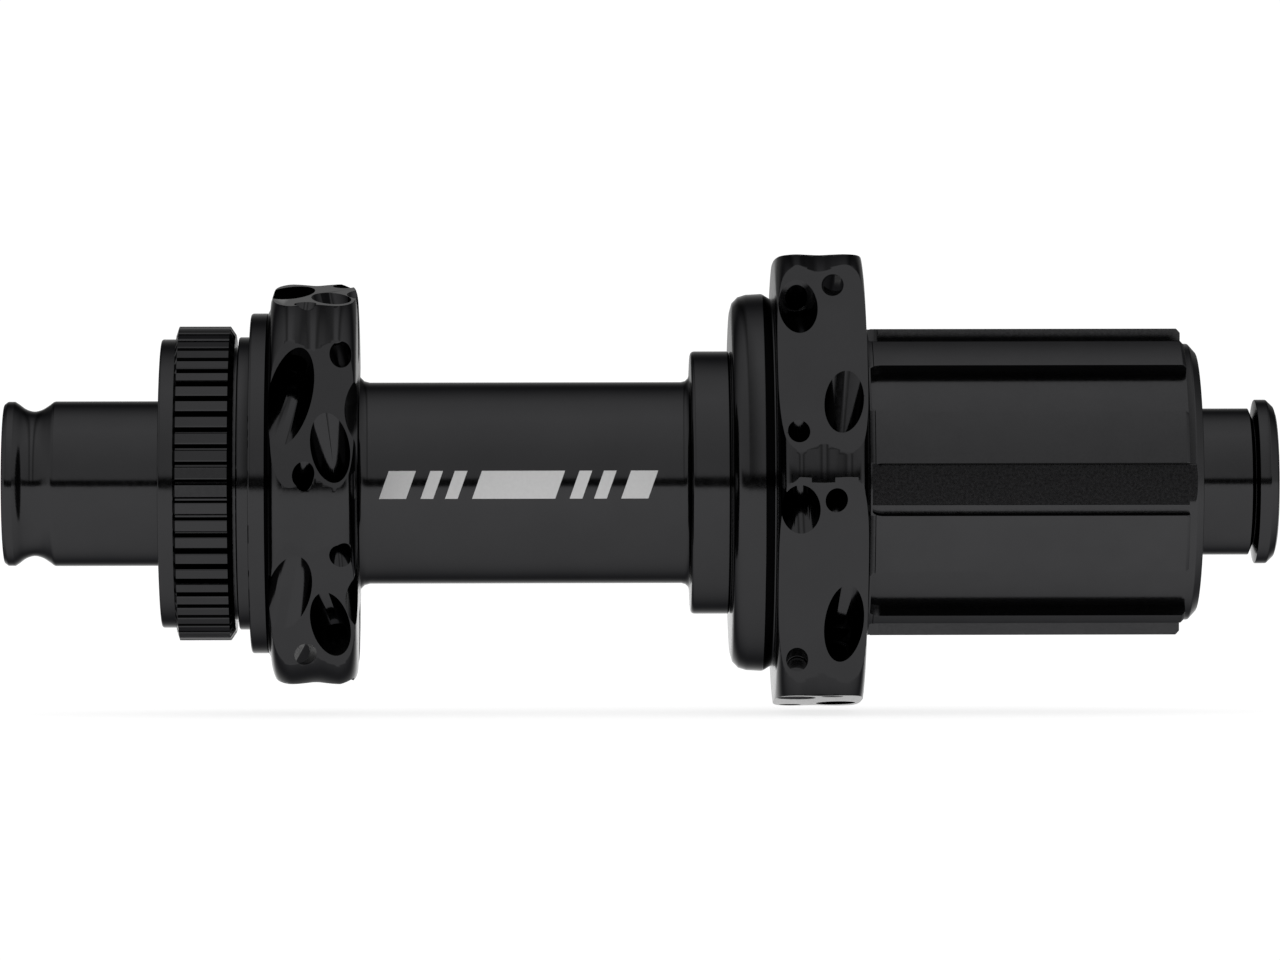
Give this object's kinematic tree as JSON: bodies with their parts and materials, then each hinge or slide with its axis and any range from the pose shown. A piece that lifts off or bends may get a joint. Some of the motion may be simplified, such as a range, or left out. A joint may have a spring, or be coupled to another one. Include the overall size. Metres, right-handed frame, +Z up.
{
  "type": "bicycle rear hub",
  "caption": "Straight-pull rear hub for a through axle, with a toothed rotor mount, a splined freehub and a face ratchet inside.",
  "frame": {"origin": "on the axle's axis, halfway between the two frame faces", "axes": "+X along the axle towards the sprocket side, +Z up"},
  "size_m": [0.142, 0.055, 0.0506],
  "materials": {
    "black_anodised": "gloss black anodised",
    "satin_anodised": "satin black anodised, machined",
    "bearing_steel": "ground",
    "hardened_steel": "hardened, dark",
    "ball_cage": "pressed",
    "seal_rubber": "matte"
  },
  "bodies": {
    "axle_assembly": {"axle": "black_anodised", "end_cap_left": "black_anodised", "end_cap_right": "black_anodised", "ratchet_spacer": "black_anodised", "freehub_spacer": "black_anodised", "left_dust_seal": "seal_rubber", "freehub_end_seal": "seal_rubber", "o_ring_left": "seal_rubber", "o_ring_right": "seal_rubber", "left_bearing_inner_race": "bearing_steel", "middle_bearing_inner_race": "bearing_steel", "freehub_bearing_inner_race": "bearing_steel", "end_bearing_inner_race": "bearing_steel"},
    "hub_body": {"hub_shell": "black_anodised", "hub_ratchet": "hardened_steel", "freehub_lip_seal": "seal_rubber", "left_bearing_outer_race": "bearing_steel", "left_bearing_shield": "seal_rubber", "middle_bearing_outer_race": "bearing_steel", "middle_bearing_shield": "seal_rubber"},
    "hub_ball_cages": {"left_bearing_ball_cage": "ball_cage", "middle_bearing_ball_cage": "ball_cage"},
    "freehub": {"freehub_body": "satin_anodised", "ratchet_spring": "bearing_steel", "freehub_bearing_outer_race": "bearing_steel", "freehub_bearing_shield": "seal_rubber", "end_bearing_outer_race": "bearing_steel", "end_bearing_shield": "seal_rubber"},
    "freehub_ball_cages": {"freehub_bearing_ball_cage": "ball_cage", "end_bearing_ball_cage": "ball_cage"},
    "sliding_ratchet": {"drive_ratchet": "hardened_steel"}
  },
  "joints": [
    {"name": "hub_spin", "type": "hinge", "parent": "axle_assembly", "child": "hub_body", "pos_m": [0, 0, 0], "axis": [1, 0, 0], "continuous": true},
    {"name": "hub_cage_spin", "type": "hinge", "parent": "axle_assembly", "child": "hub_ball_cages", "pos_m": [0, 0, 0], "axis": [1, 0, 0], "continuous": true},
    {"name": "freehub_spin", "type": "hinge", "parent": "axle_assembly", "child": "freehub", "pos_m": [0, 0, 0], "axis": [1, 0, 0], "continuous": true},
    {"name": "freehub_cage_spin", "type": "hinge", "parent": "axle_assembly", "child": "freehub_ball_cages", "pos_m": [0, 0, 0], "axis": [1, 0, 0], "continuous": true},
    {"name": "ratchet_slide", "type": "slide", "parent": "freehub", "child": "sliding_ratchet", "axis": [-1, 0, 0], "range_m": [0, 0.001]}
  ],
  "couplings": [
    {"joint": "hub_cage_spin", "follows": "hub_spin", "ratio": 0.5667},
    {"joint": "freehub_cage_spin", "follows": "freehub_spin", "ratio": 0.5667}
  ]
}
